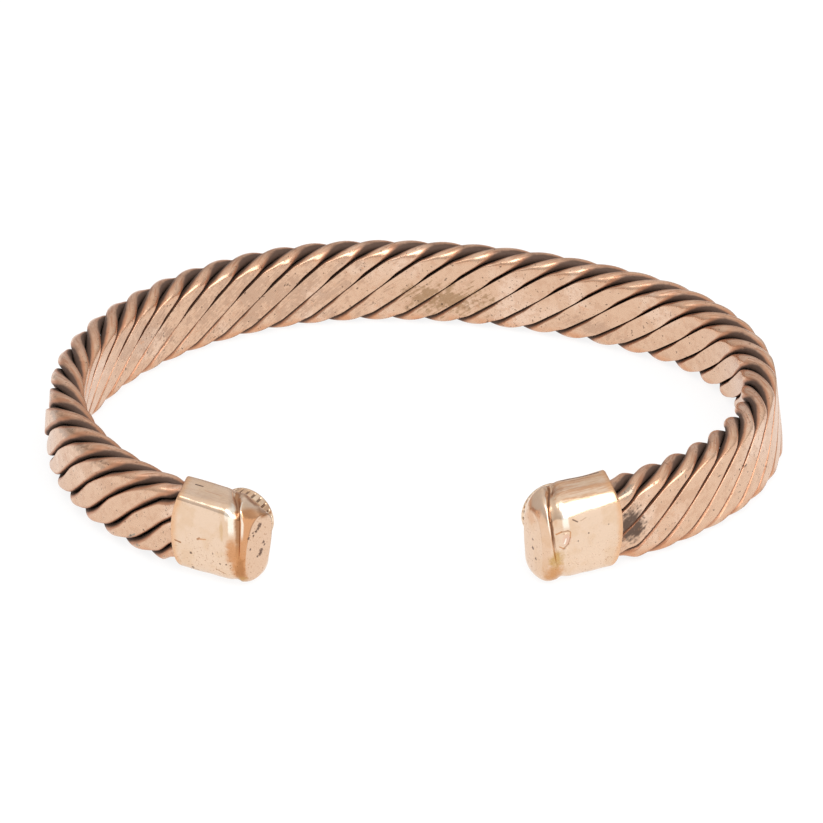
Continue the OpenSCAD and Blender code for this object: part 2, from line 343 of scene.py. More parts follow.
def wireTree():
    tree, given, names = openTree("twistedWire", (
        ("Middle line", "Object"), ("Copper", "Material"), ("Wire", "Float"), ("Rings", "Int"),
        ("Sides", "Int"), ("Band height", "Float"), ("Band thickness", "Float"),
        ("Lay length", "Float"), ("Face share", "Float"), ("Gap", "Float"),
        ("Face exponent", "Float"), ("Edge exponent", "Float"), ("Stand-off", "Float"),
        ("Stand-off at", "Float")))
    node = partial(makeNode, tree)
    tube, along, around = plainTube(node, given["Rings"], given["Sides"])
    span = wireEnd - wireStart
    s = wireStart + span * along
    around = around * (2 * math.pi) + math.pi / 2

    # the band's section is two half rounds and a straight, drawn in where it enters the caps
    rightNeck, leftNeck = rightMouth - cap["mouthBow"], leftMouth - cap["mouthBow"]
    neck = (smooth(rightNeck - wires["neckRun"], rightNeck, s)
            + smooth(leftNeck - wires["neckRun"], leftNeck, -s))
    radius = given["Band thickness"] / 2
    straightHalf = (given["Band height"] - given["Band thickness"]) / 2
    straight = straightHalf + (wires["neckStraight"] - straightHalf) * neck

    # reads a table of the band; a ramp holds 0 to 1, so its values are scaled and shifted
    def alongBand(table, scale=1.0, base=0.0):
        stops = [((at - wireStart) / span, (base + scale * value,) * 3 + (1,))
                 for at, value in table]
        ramp = node("ShaderNodeValToRGB", {"stops": stops}, {0: (s - wireStart) / span})[0]
        return (node("FunctionNodeSeparateColor", None, {0: ramp})[0] - base) / scale

    twist = (s / given["Lay length"]
             + wires["aheadRight"] * smooth(wires["aheadFrom"], rightMouth, s)
             + wires["behindLeft"] * smooth(wires["behindFrom"], wires["behindFull"], -s)
             + alongBand(wires["drift"], 10.0, 0.5))
    flatness, opened = alongBand(wires["flatness"]), alongBand(wires["opened"])
    middle = (given["Wire"] - 0.5) / wires["count"] - twist

    # the cell's outline: squarer on the rolled faces, round on the edges of the band
    roundness = smooth(wires["roundFrom"], wires["roundFull"], middle.fn("PINGPONG", 0.25))
    plain = wires["plainExponent"]
    faceExponent = plain + (given["Face exponent"] - plain) * flatness * (
        1 - wires["openedRounder"] * opened)
    power = 2 / (faceExponent + (given["Edge exponent"] - faceExponent) * roundness)
    cosine, sine = around.fn("COSINE"), around.fn("SINE")
    across = cosine.fn("SIGN") * abs(cosine) ** power
    sunk = 1 - sine.fn("SIGN") * abs(sine) ** power  # 0 at the surface, 1 where the cell is widest
    girth = 4 * straight + 2 * math.pi * radius
    wide = 1 / wires["count"] - given["Gap"] / girth
    turn = middle + wide / 2 * (1 - wires["coreTaper"] * sunk / 2) * across
    deepest = radius - wires["coreGap"] / 2
    flatBelly = wires["bellyFace"] + wires["bellyOpened"] * opened
    belly = deepest * (flatBelly + (wires["bellyEdge"] - flatBelly) * roundness)
    depth = (belly * sunk.fn("MINIMUM", 1.0)
             + (deepest - belly) * (sunk - 1).fn("MAXIMUM", 0.0))

    # share of a turn to a place in the section, out and up from the band's middle
    outside = 1 - 2 * ((turn + 0.25).fn("FRACT") > 0.5)
    above = 1 - 2 * (turn.fn("FRACT") > 0.5)
    faceShare = given["Face share"] / 2 + (1 - outside) / 4 * (
        wires["innerMore"] + wires["lowMore"] * (1 - above) / 2)
    faceShare = faceShare + (1 + outside) / 2 * above * alongBand(wires["skewed"], 10.0)
    far = (climbed(turn.fn("PINGPONG", 0.25), straight, radius, faceShare)
           * (straight + radius * (math.pi / 2)) / climbed(0.25, straight, radius, faceShare))
    past, ease = (far - straight) / radius, wires["softShoulder"]
    whole = (math.pi / 2 + math.sqrt(math.pi ** 2 / 4 + ease * ease)) / math.pi
    bend = (past + (past * past + ease * ease).fn("SQRT")) / (2 * whole)
    level = far - radius * bend

    # a wire that stands off, the swell of its round back, and the rolled face that cuts it flat
    off = (s - given["Stand-off at"]) / wires["bulgeHalf"]
    lift = given["Stand-off"] * (-(off * off)).fn("EXPONENT")
    swell = wires["swell"] * (wires["swellUnrolled"] + (1 - wires["swellUnrolled"]) * flatness) * (
        bend.fn("COSINE") ** 2)
    reach = radius - depth + swell + lift
    rolled = radius + lift
    out = reach * bend.fn("COSINE")
    out = outside * (out + rolled - ((out - rolled) ** 2 + wires["fold"] ** 2).fn("SQRT")) / 2
    up = above * (level + reach * bend.fn("SINE"))

    # onto the middle line, leaning with the turn of the band
    source = node("GeometryNodeObjectInfo", {"transform_space": "ORIGINAL"},
                  {"Object": given["Middle line"]})[-1]
    sample = node("GeometryNodeSampleCurve", {"mode": "LENGTH"},
                  {"Curves": source, "Length": s - wireStart})
    point, tangent = sample[-3], sample[-2]
    tx, ty = node("ShaderNodeSeparateXYZ", None, {0: tangent})[:2]
    px, py = node("ShaderNodeSeparateXYZ", None, {0: point})[:2]
    lean = ((s > 0) * math.radians(band["leanRight"]) + (s < 0) * math.radians(band["leanLeft"]))
    lean = lean * ty * ty * (1 - neck)
    outward = out * lean.fn("COSINE") - up * lean.fn("SINE")
    z = (given["Band height"] / 2 + (cap["height"] - given["Band height"]) / 2 * neck
         + out * lean.fn("SINE") + up * lean.fn("COSINE"))
    place = joined(tree, (px - ty * outward) * mm, (py + tx * outward) * mm, z * mm)
    closeShape(tree, node, tube, place,
               {"depth": depth - swell, "across": across, "along": s, "edge": bend / (math.pi / 2),
                "outside": outside, "up": up}, given["Copper"])
    return tree, names


# runs a tree on an empty mesh and keeps the result as a plain mesh
def madeByTree(name, tree, names, values):
    holder = bpy.data.objects.new(name + ".maker", bpy.data.meshes.new(name + ".maker"))
    scene.collection.objects.link(holder)
    modifier = holder.modifiers.new("maker", "NODES")
    modifier.node_group = tree
    for key, value in values.items():
        modifier[names[key]] = value
    graph = bpy.context.evaluated_depsgraph_get()
    mesh = bpy.data.meshes.new_from_object(holder.evaluated_get(graph),
                                           preserve_all_data_layers=True, depsgraph=graph)
    bpy.data.objects.remove(holder)
    mesh.name = name
    piece = bpy.data.objects.new(name, mesh)
    scene.collection.objects.link(piece)
    return piece


# copper of the wires: polished where it was rolled, brown-black patina where it lies deep, with
# painted shade added in and beside the grooves
wireFinish = {
    "polished": rgb(221, 184, 156), "paler": rgb(232, 200, 176), "duller": rgb(205, 164, 136),
    "warm": rgb(186, 128, 96), "orange": rgb(212, 150, 110), "oxide": rgb(90, 69, 58),
    "deep": rgb(54, 44, 38), "greyBrown": rgb(180, 146, 124), "olive": rgb(148, 114, 76),
    "dark": rgb(84, 66, 56), "solder": rgb(122, 130, 124),
    "oxideFrom": -0.03, "oxideFull": 0.22, "roughness": 0.22, "bump": 0.00003,
    # side (1 outer, -1 inner), place along, up, half length, half height, colour, strength,
    # raggedness
    "marks": [(-1, 6.5, -1.0, 4.5, 1.7, "olive", 0.65, 1.0),
              # the next two greyBrown marks, inside the left bend, are painted shade for a dimmer
              # reflection there
              (-1, -13.0, 0.2, 10.0, 3.2, "greyBrown", 0.5, 1.8),
              (-1, -27.0, 0.6, 5.0, 2.6, "greyBrown", 0.45, 1.6),
              (-1, 22.0, -1.8, 4.0, 0.9, "greyBrown", 0.5, 1.0),
              # painted shade: the dark gap where the wire enters the cap's mouth
              (1, 71.9, -0.1, 1.5, 1.9, "dark", 0.95, 0.7),
              (1, 72.4, 3.5, 1.3, 1.2, "solder", 0.6, 0.7),
              (1, -61.0, -2.6, 0.8, 0.5, "solder", 0.7, 0.8),
              (1, 66.5, 0.8, 3.5, 0.7, "duller", 0.6, 0.9),
              (1, -57.0, 1.4, 5.0, 0.8, "duller", 0.6, 0.9),
              (1, -50.0, 2.9, 9.0, 0.9, "oxide", 0.45, 0.6),
              (1, 58.8, 0.5, 0.35, 0.12, "dark", 0.8, 0.3),
              (1, 59.7, 0.6, 0.12, 0.12, "dark", 0.9, 0.2),
              (1, 62.4, 1.2, 0.3, 0.08, "dark", 0.7, 0.3)],
}


def newMaterial(name):
    material = bpy.data.materials.new(name)
    material.use_nodes = True
    material.node_tree.nodes.clear()
    return material, material.node_tree


# the material's only shader, linked to its output
def closeMaterial(tree, sockets):
    shader = makeNode(tree, "ShaderNodeBsdfPrincipled", None, sockets)[0]
    tree.links.new(shader.socket, tree.nodes.new("ShaderNodeOutputMaterial").inputs[0])


def bumped(tree, height, distance):
    return makeNode(tree, "ShaderNodeBump", None,
                    {"Strength": 1.0, "Distance": distance, "Height": height})[0]


def attribute(tree, name):
    return makeNode(tree, "ShaderNodeAttribute", {"attribute_name": name})[2]


def noise(tree, where, scale, detail=2.0, rough=0.5):
    return makeNode(tree, "ShaderNodeTexNoise", None,
                    {"Vector": where, "Scale": scale, "Detail": detail, "Roughness": rough})[0]


def mixColour(tree, share, first, second):
    return makeNode(tree, "ShaderNodeMix", {"data_type": "RGBA"},
                    {"Factor": share, "A": first, "B": second})[0]


def joined(tree, x, y, z=0.0):
    return makeNode(tree, "ShaderNodeCombineXYZ", None, {0: x, 1: y, 2: z})[0]


# a surface's colour, laid on coat by coat from the colours of its finish
class Coats:
    def __init__(self, tree, finish, first):
        self.tree, self.finish, self.colour = tree, finish, finish[first]

    def lay(self, mask, name):
        self.colour = mixColour(self.tree, mask, self.colour, self.finish[name])


# the listed marks; returns where the dark ones are, which are also pits
def wireMarks(coats, along, up, outside, unrest):
    marked = 0
    for side, at, high, length, tall, name, strength, ragged in wireFinish["marks"]:
        away = (((along - at) / length) ** 2 + ((up - high) / tall) ** 2) ** 0.5
        mask = (1 - smooth(0.35, 1.1, away + unrest * (2.0 * ragged))) * (
            (outside * side) > 0) * strength
        coats.lay(mask, name)
        if name == "dark":
            marked = marked + mask
    return marked


# pits in clusters, a few hair-thin scratches, and orange spots
def wireWear(coats, spot, along, up, outside, clouds, patches):
    tree = coats.tree
    pits = smooth(0.66, 0.72, noise(tree, spot, 4200, 2.0)) * smooth(0.5, 0.6, clouds)
    pits = pits + smooth(0.66, 0.71, noise(tree, spot, 3000, 3.0)) * 0.9
    coats.lay(pits.clamp() * 0.75, "dark")
    hair = abs(noise(tree, joined(tree, along * 0.5 + up * 0.6, up * 1.3 - along * 0.2,
                                  outside * 3.0), 1.0, 2.0) - 0.5)
    scratch = (1 - smooth(0.0, 0.008, hair)) * smooth(0.52, 0.6, patches)
    coats.lay(scratch * 0.5, "warm")
    spots = smooth(0.60, 0.68, noise(tree, spot, 1100, 5.0, 0.7)) * smooth(0.46, 0.6, clouds)
    coats.lay(spots * 0.45, "orange")
    return pits, scratch


def wireCopper():
    material, tree = newMaterial("rolledCopper")
    spot = makeNode(tree, "ShaderNodeTexCoord")[3]
    depth, across, along, edge, outside, up = (attribute(tree, name) for name in (
        "depth", "across", "along", "edge", "outside", "up"))
    clouds = noise(tree, spot, 160, 3.0)
    patches = noise(tree, spot, 700, 3.0)
    grain = noise(tree, spot, 2600, 3.0)
    # fine lines along each wire
    drawn = noise(tree, joined(tree, along * 0.35, across * 5.0, outside * 7.0), 1.0, 3.0)
    coats = Coats(tree, wireFinish, "polished")
    coats.lay(smooth(0.52, 0.66, clouds), "paler")
    coats.lay((1 - smooth(0.38, 0.52, noise(tree, spot, 1500, 4.0, 0.6))) * 0.5, "duller")
    # orange where the rolled face runs out, in patches; the extra orange on the lower half is a
    # painted warm reflection
    tip = smooth(0.04, 0.3, edge) * (1 - smooth(0.5, 0.85, edge))
    coats.lay(tip * smooth(0.3, 0.6, patches) * (0.3 + 0.4 * (up < 0)), "orange")
    coats.lay(smooth(0.35, 0.8, edge) * smooth(0.47, 0.62, drawn) * 0.65, "warm")
    marked = wireMarks(coats, along, up, outside, patches + grain + drawn - 1.5)
    pits, scratch = wireWear(coats, spot, along, up, outside, clouds, patches)
    # patina in the grooves; its reach further up the flanks on the band's edges is painted shade
    reach = 0.06 * smooth(0.35, 0.9, edge) - 0.07 * smooth(14, 30, abs(along))
    uneven = (patches - 0.5) * 0.16 + (grain - 0.5) * 0.08 + (drawn - 0.5) * 0.12 * edge
    oxide = smooth(wireFinish["oxideFrom"], wireFinish["oxideFull"], depth + reach + uneven)
    # warm brown along the edges of the grooves, rougher too: painted shade
    warm = smooth(-0.09, 0.05, depth + uneven * 0.5) * (1 - smooth(0.5, 0.9, edge) * 0.6)
    coats.lay(warm * 0.75, "warm")
    coats.lay(oxide, "oxide")
    coats.lay(smooth(0.4, 0.9, depth), "deep")
    height = (grain * 0.12 + patches * 0.3 + drawn * edge * 0.4 - pits * 0.5 - scratch * 0.15
              - marked * (0.4 + grain))
    closeMaterial(tree, {
        "Base Color": coats.colour, "Specular IOR Level": 0.25,
        "Metallic": (1 - 0.8 * oxide) * (1 - 0.5 * marked).clamp(),
        "Roughness": (wireFinish["roughness"] + 0.28 * oxide + 0.15 * warm + 0.1 * grain
                      + 0.2 * marked),
        "Normal": bumped(tree, height, wireFinish["bump"])})
    return material


rolledCopper = wireCopper()
middle = middleLine()
scene.collection.objects.link(middle)
tree, names = wireTree()
for number in range(1, wires["count"] + 1):
    standOff, standOffAt = wires["bulged"].get(number, (0.0, 0.0))
    piece = madeByTree("wire_%d" % number, tree, names, {
        "Middle line": middle, "Copper": rolledCopper, "Wire": float(number),
        "Rings": wires["rings"], "Sides": wires["sides"], "Band height": band["height"],
        "Band thickness": band["thickness"], "Lay length": wires["layLength"],
        "Face share": wires["faceShare"], "Gap": wires["gap"],
        "Face exponent": wires["faceExponent"], "Edge exponent": wires["edgeExponent"],
        "Stand-off": standOff, "Stand-off at": standOffAt})
    print(piece.name, len(piece.data.vertices), "points")
    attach(piece, "root")
    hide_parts("strand_%d" % number)
bpy.data.objects.remove(middle)
print("wires made")


# end caps: worn boxes whose mouth and end stand askew, each closed by a pillow-like plate
capRight = {
    "thickness": 4.2, "height": 8.1, "low": 0.0, "length": 7.55, "fall": 0.0,
    "outerTop": 1.8, "outerMore": 0.4, "outerLow": 1.7, "innerTop": 0.9, "innerLow": 1.0,
    "mouthSkew": 1.0, "mouthShift": 0.17, "mouthBow": 0.85, "wall": 0.28, "seat": 2.8,
    "crease": 1.15, "creaseSlant": 1.2, "creaseSkew": 1.9, "creaseDepth": 0.55,
    "creaseBody": 0.55, "creaseLip": 0.3, "creaseFrom": 1.2, "creaseFull": 5.0,
    "endFall": 1.0, "fallRun": 2.4, "plateRound": 1.0, "plateSkew": 0.25, "faceOff": 0.0,
    "faceHalf": 1.45, "faceTall": 2.85, "faceMiddle": 3.7, "faceLean": 0.3, "domed": 0.12,
    "uneven": 0.05, "seed": 3.0,
    # dents and lumps: along, up, half length, half height, depth (a lump is negative)
    "dents": [(5.85, 4.5, 0.42, 0.5, -0.13), (5.2, 4.35, 0.2, 0.75, 0.09),
              (5.6, 3.75, 0.55, 0.22, 0.09), (5.5, 5.25, 0.5, 0.16, 0.07),
              (2.6, 3.1, 1.6, 0.9, 0.03), (1.2, 6.4, 0.7, 0.4, 0.03)],
}
capLeft = {
    "thickness": 3.95, "height": 7.85, "low": 0.1, "length": 7.4, "fall": 0.1,
    "outerTop": 0.65, "outerMore": 0.25, "outerLow": 1.8, "innerTop": 1.0, "innerLow": 1.0,
    "mouthSkew": 1.2, "mouthShift": -0.3, "mouthBow": 0.85, "wall": 0.28, "seat": 2.8,
    "crease": 0.8, "creaseSlant": -0.1, "creaseSkew": 2.5, "creaseDepth": 0.6,
    "creaseBody": 0.6, "creaseLip": 0.34, "creaseFrom": 1.2, "creaseFull": 5.6,
    "endFall": 1.1, "fallRun": 2.6, "plateRound": 1.25, "plateSkew": 1.0, "faceOff": -0.15,
    "faceHalf": 1.45, "faceTall": 2.9, "faceMiddle": 3.6, "faceLean": 0.5, "domed": 0.04,
    "uneven": 0.05, "seed": 11.0,
    "dents": [(2.8, 4.1, 0.5, 0.1, 0.03), (0.35, 3.25, 0.3, 0.09, 0.05),
              (1.75, 2.5, 0.18, 0.18, 0.03), (3.2, 2.2, 1.4, 0.8, 0.03)],
}
# what both caps share: counts of the mesh, then shares, and lengths and heights in millimetres
capShape = {
    "corner": 10, "tall": 56, "short": 14, "along": 84, "plateRings": 18, "faceRings": 9,
    # round the edge of the mouth: place along the cap, share of the wall inwards
    "mouthEdge": [(1.4, 1.0), (0.16, 1.0), (0.03, 0.8), (0.0, 0.5), (0.03, 0.2), (0.14, 0.0)],
    "bodyFrom": 0.24, "mouthRun": 3.0,  # the mouth's bow and skew die out over this run
    "leastRound": 0.12, "moreFrom": 2.2, "moreFull": 6.2,  # where the outer edge is more worn
    "topShort": 1.0, "fallFrom": 4.0, "fallFull": 7.6,  # heights that fall away past the crease
    "creaseLow": 0.22, "creaseInner": 0.1,  # shares of its depth low down and on the wrist side
    "dentReach": 9.0,  # squared, in a dent's half sizes
    "unevenScale": (0.55, 0.6, 0.45),
    # how a depth presses out and up: fully at these shares and heights from the middle
    "pressOut": 0.8, "pressMiddle": 4.0, "pressUp": 3.4, "pressFrom": 1.6, "pressFull": 3.3,
    "skewRun": 4.5, "plateBow": 0.95, "ovalExponent": 2.4,
}


# a cap's own frame: x from the mouth to the end, y outwards, z up
def capFrame(side):
    bends, mouth, way = ((band["rightBends"], rightMouth, 1) if side == "right"
                         else (band["leftBends"], leftMouth, -1))
    x, y = walk(bends, mouth)[:2]
    place = Matrix.Translation((x, y, 0)) @ Matrix.Rotation(-bendTurn(bends), 4, "Z")
    return (Matrix.Translation((backX * mm, backY * mm, 0)) @ Matrix.Diagonal((way, 1, 1, 1))
            @ Matrix.Scale(mm, 4) @ place)


# points round the box's section, with its four corners rounded
def roundedBox(given, x, inset, top):
    half, low = given["thickness"] / 2 - inset, given["low"] + inset
    top -= inset
    points = []
    corners = []
    for name, wayOut, wayUp in (("outerLow", 1, -1), ("innerLow", -1, -1), ("innerTop", -1, 1),
                                ("outerTop", 1, 1)):
        r = given[name]
        if name == "outerTop":
            r += given["outerMore"] * eased(capShape["moreFrom"], capShape["moreFull"], x)
        r = max(r - inset, capShape["leastRound"])
        corners.append((wayOut * (half - r), (top - r) if wayUp > 0 else (low + r), r))
    for number, (y, z, r) in enumerate(corners):
        for step in range(capShape["corner"] + 1):
            angle = math.radians(90 * (number + step / capShape["corner"]))
            points.append((y + r * math.cos(angle), z - r * math.sin(angle)))
        nextY, nextZ, nextR = corners[(number + 1) % 4]
        angle = math.radians(90 * (number + 1))
        nextY, nextZ = nextY + nextR * math.cos(angle), nextZ - nextR * math.sin(angle)
        lastY, lastZ = points[-1]
        count = capShape["tall"] if number % 2 else capShape["short"]
        for step in range(1, count):
            points.append((lastY + (nextY - lastY) * step / count,
                           lastZ + (nextZ - lastZ) * step / count))
    return points


# the end plate's oval outline, in the direction of a point of the box
def plateOutline(given, y, z):
    middle, tall = given["faceMiddle"], given["faceTall"]
    angle = math.atan2((z - middle) / (given["height"] / 2), y / (given["thickness"] / 2))
    power = 2 / capShape["ovalExponent"]
    ovalZ = middle + tall * math.copysign(abs(math.sin(angle)) ** power, math.sin(angle))
    ovalY = given["faceHalf"] * math.copysign(abs(math.cos(angle)) ** power, math.cos(angle))
    ovalY += given["faceOff"] + given["faceLean"] * (middle - ovalZ) / tall
    return ovalY, ovalZ


# the crease's depth, shallower low down and on the wrist side
def creaseDepth(given, past, y, z, plate):
    half = given["thickness"] / 2
    low, inner = capShape["creaseLow"], capShape["creaseInner"]
    away = past / (given["creaseBody"] if past < 0 else given["creaseLip"])
    return given["creaseDepth"] * math.exp(-away * away) * (1 - plate) * (
        low + (1 - low) * eased(given["creaseFrom"], given["creaseFull"], z)) * (
        inner + (1 - inner) * eased(-half, -half * 0.5, y))


# one ring of a cap: plate 0 to 1 turns the box into the oval plate, face 1 to 0 shrinks it
def capRing(given, x, inset=0.0, plate=0.0, face=1.0):
    end, low, half = given["length"], given["low"], given["thickness"] / 2
    top = given["height"] - given["fall"] * eased(0, end - capShape["topShort"], x)
    middleZ = given["faceMiddle"]
    ring = []
    for y, z in roundedBox(given, x, inset, top):
        # the crease behind the plate runs askew over the top; beyond it the top falls away
        crease = (end - given["crease"] - given["creaseSlant"] * (0.5 - (z - low) / (top - low))
                  - given["creaseSkew"] * (0.5 - y / given["thickness"]))
        if not inset:
            z -= given["endFall"] * eased(0, given["fallRun"], x - crease) * (
                eased(capShape["fallFrom"], capShape["fallFull"], z))
        ovalY, ovalZ = plateOutline(given, y, z)
        y, z = y + (ovalY - y) * plate, z + (ovalZ - z) * plate
        y = given["faceOff"] * plate * (1 - face) + y * face
        z = middleZ + (z - middleZ) * face
        depth = 0 if inset else creaseDepth(given, x - crease, y, z, plate)
        # dents, lumps and hammered unevenness of the outer side
        for along, high, length, tall, sunk in given["dents"]:
            apart = ((x - along) / length) ** 2 + ((z - high) / tall) ** 2
            if y > 0 and apart < capShape["dentReach"]:
                depth += sunk * math.exp(-apart)
        if not inset:
            scaleX, scaleY, scaleZ = capShape["unevenScale"]
            spot = Vector((x * scaleX + given["seed"], y * scaleY, z * scaleZ))
            depth += given["uneven"] * noiseAt(spot)
        y -= depth * between(-1, 1, y / (half * capShape["pressOut"]))
        up = z - capShape["pressMiddle"]
        z -= depth * between(-1, 1, up / capShape["pressUp"]) * (
            eased(capShape["pressFrom"], capShape["pressFull"], abs(up)))
        # askew and bowed at the mouth, askew and domed at the end
        px = x + (1 - eased(0, capShape["mouthRun"], x)) * (
            given["mouthShift"] + given["mouthSkew"] * y / given["thickness"]
            - given["mouthBow"] * (1 - (2 * z / given["height"] - 1) ** 2))
        px -= given["plateSkew"] * (y / given["thickness"] + 0.5) * (
            max(0, 1 - (end - x) / capShape["skewRun"]))
        px += given["domed"] * (1 - face * face)
        ring.append((px, y, z, x - crease))
    return ring


# a cap's rings from inside its mouth to the middle of its plate, and where the plate starts
def capRings(given):
    end, wall = given["length"], given["wall"]
    rings = [capRing(given, given["seat"], wall)]
    rings += [capRing(given, x, wall * share) for x, share in capShape["mouthEdge"]]
    start, last, steps = capShape["bodyFrom"], end - given["plateRound"], capShape["along"]
    rings += [capRing(given, start + (last - start) * i / steps) for i in range(steps)]
    firstPlate = len(rings)
    bow, turns = capShape["plateBow"], capShape["plateRings"] - 1
    for i in range(turns + 1):
        u = math.sin(i / turns * math.pi / 2)
        rings.append(capRing(given, last + given["plateRound"] * u, 0.0,
                             (1 - math.sqrt(1 - (bow * u) ** 2)) / (1 - math.sqrt(1 - bow ** 2))))
    for i in range(1, capShape["faceRings"]):
        rings.append(capRing(given, end, 0.0, 1.0, 1 - i / capShape["faceRings"]))
    return rings, firstPlate


def makeCap(side, given, material):
    rings, firstPlate = capRings(given)
    made = bmesh.new()
    spot = made.verts.layers.float_vector.new("spot")
    plate = made.verts.layers.float.new("plate")
    past = made.verts.layers.float.new("pastCrease")
    loops = []
    for number, ring in enumerate(rings):
        loop = []
        for point in ring:
            vert = made.verts.new(point[:3])
            vert[spot] = point[:3]
            vert[past] = point[3]
            vert[plate] = between(0, 1, (number - firstPlate) / (capShape["plateRings"] - 1))
            loop.append(vert)
        loops.append(loop)
    count = len(loops[0])
    for first, second in zip(loops, loops[1:]):
        for i in range(count):
            made.faces.new((first[i], first[(i + 1) % count], second[(i + 1) % count], second[i]))
    for loop, order in ((loops[0], -1), (loops[-1], 1)):
        middle = made.verts.new(sum((v.co for v in loop), Vector()) / count)
        middle[spot] = middle.co
        middle[plate], middle[past] = loop[0][plate], loop[0][past]
        for i in range(count):
            made.faces.new((loop[i], loop[(i + 1) % count], middle)[::order])
    bmesh.ops.recalc_face_normals(made, faces=made.faces[:])
    for face in made.faces:
        face.smooth = True
    mesh = bpy.data.meshes.new("cap_" + side)
    made.to_mesh(mesh)
    made.free()
    mesh.transform(capFrame(side))
    mesh.materials.append(material)
    piece = bpy.data.objects.new("cap_" + side, mesh)
    scene.collection.objects.link(piece)
    print(piece.name, len(mesh.polygons), "faces")
    return piece


# toothed settings on the wrist side of the caps
setting = {
    "teeth": 26, "fromEnd": 3.2, "height": 4.45,
    "notchDepth": 0.13, "pointsPerTooth": 14, "profilePoints": 64,
    # a notch is cut where the tooth's wave passes these, and inside this radius only sideways
    "notchFrom": 0.70, "notchFull": 0.93, "notchSideways": 2.45,
    "footDepth": 0.6,  # how deep the foot stands in the cap
    # share along the profile, radius, height and share of the notches, from the foot to the dish
    "profile": [(0.0, 2.1, 0.0, 0), (0.05, 2.46, 0.0, 0), (0.1, 2.52, 0.6, 0),
                (0.16, 2.53, 0.8, 0.2), (0.2, 2.55, 0.9, 1), (0.36, 2.55, 1.4, 1),
                (0.43, 2.56, 1.58, 0.2), (0.48, 2.54, 1.72, 0), (0.54, 2.44, 1.81, 0),
                (0.6, 2.28, 1.84, 0), (0.66, 2.08, 1.82, 0), (0.73, 1.88, 1.65, 0),
                (0.79, 1.62, 1.57, 0), (0.87, 1.1, 1.53, 0), (1.0, 0.12, 1.52, 0)],
    "profileScale": 4,  # millimetres that a full colour of the ramp stands for
}


def settingTree():
    tree, given, names = openTree("toothedSetting", (
        ("Copper", "Material"), ("Teeth", "Int"), ("Points per tooth", "Int"),
        ("Profile points", "Int"), ("Notch depth", "Float")))
    node = partial(makeNode, tree)
    body, along, around = plainTube(node, given["Profile points"],
                                    given["Teeth"] * given["Points per tooth"])
    scale = setting["profileScale"]
    profile = node("ShaderNodeValToRGB", {"stops": [(at, (radius / scale, height / scale, notch, 1))
                                                    for at, radius, height, notch
                                                    in setting["profile"]]}, {0: along})[0]
    radius, height, notched = node("FunctionNodeSeparateColor", None, {0: profile})[:3]
    wave = (around * given["Teeth"] * (2 * math.pi)).fn("COSINE") * 0.5 + 0.5
    notch = smooth(setting["notchFrom"], setting["notchFull"], wave) * notched
    radius = radius * scale - given["Notch depth"] * notch
    height = height * scale - given["Notch depth"] * 0.5 * notch * (
        radius < setting["notchSideways"])
    angle = around * (2 * math.pi)
    place = joined(tree, radius * angle.fn("COSINE"), -height, radius * angle.fn("SINE"))
    closeShape(tree, node, body, place, {"notch": notch, "high": height, "radial": radius},
               given["Copper"])
    return tree, names


# finish of the caps
capFinish = {
    "polished": rgb(233, 205, 180), "rosy": rgb(222, 187, 160), "orange": rgb(206, 146, 98),
    "brown": rgb(160, 108, 68), "olive": rgb(200, 160, 100), "dark": rgb(88, 62, 52),
    # pale paints highlights: the bands before the crease, the crease's lip and a glint on a lump
    "pale": rgb(255, 244, 228), "amber": rgb(204, 148, 96), "pinkish": rgb(226, 184, 164),
    "duller": rgb(228, 197, 168), "golden": rgb(226, 168, 118),
    "roughness": 0.15, "bump": 0.00006,
}
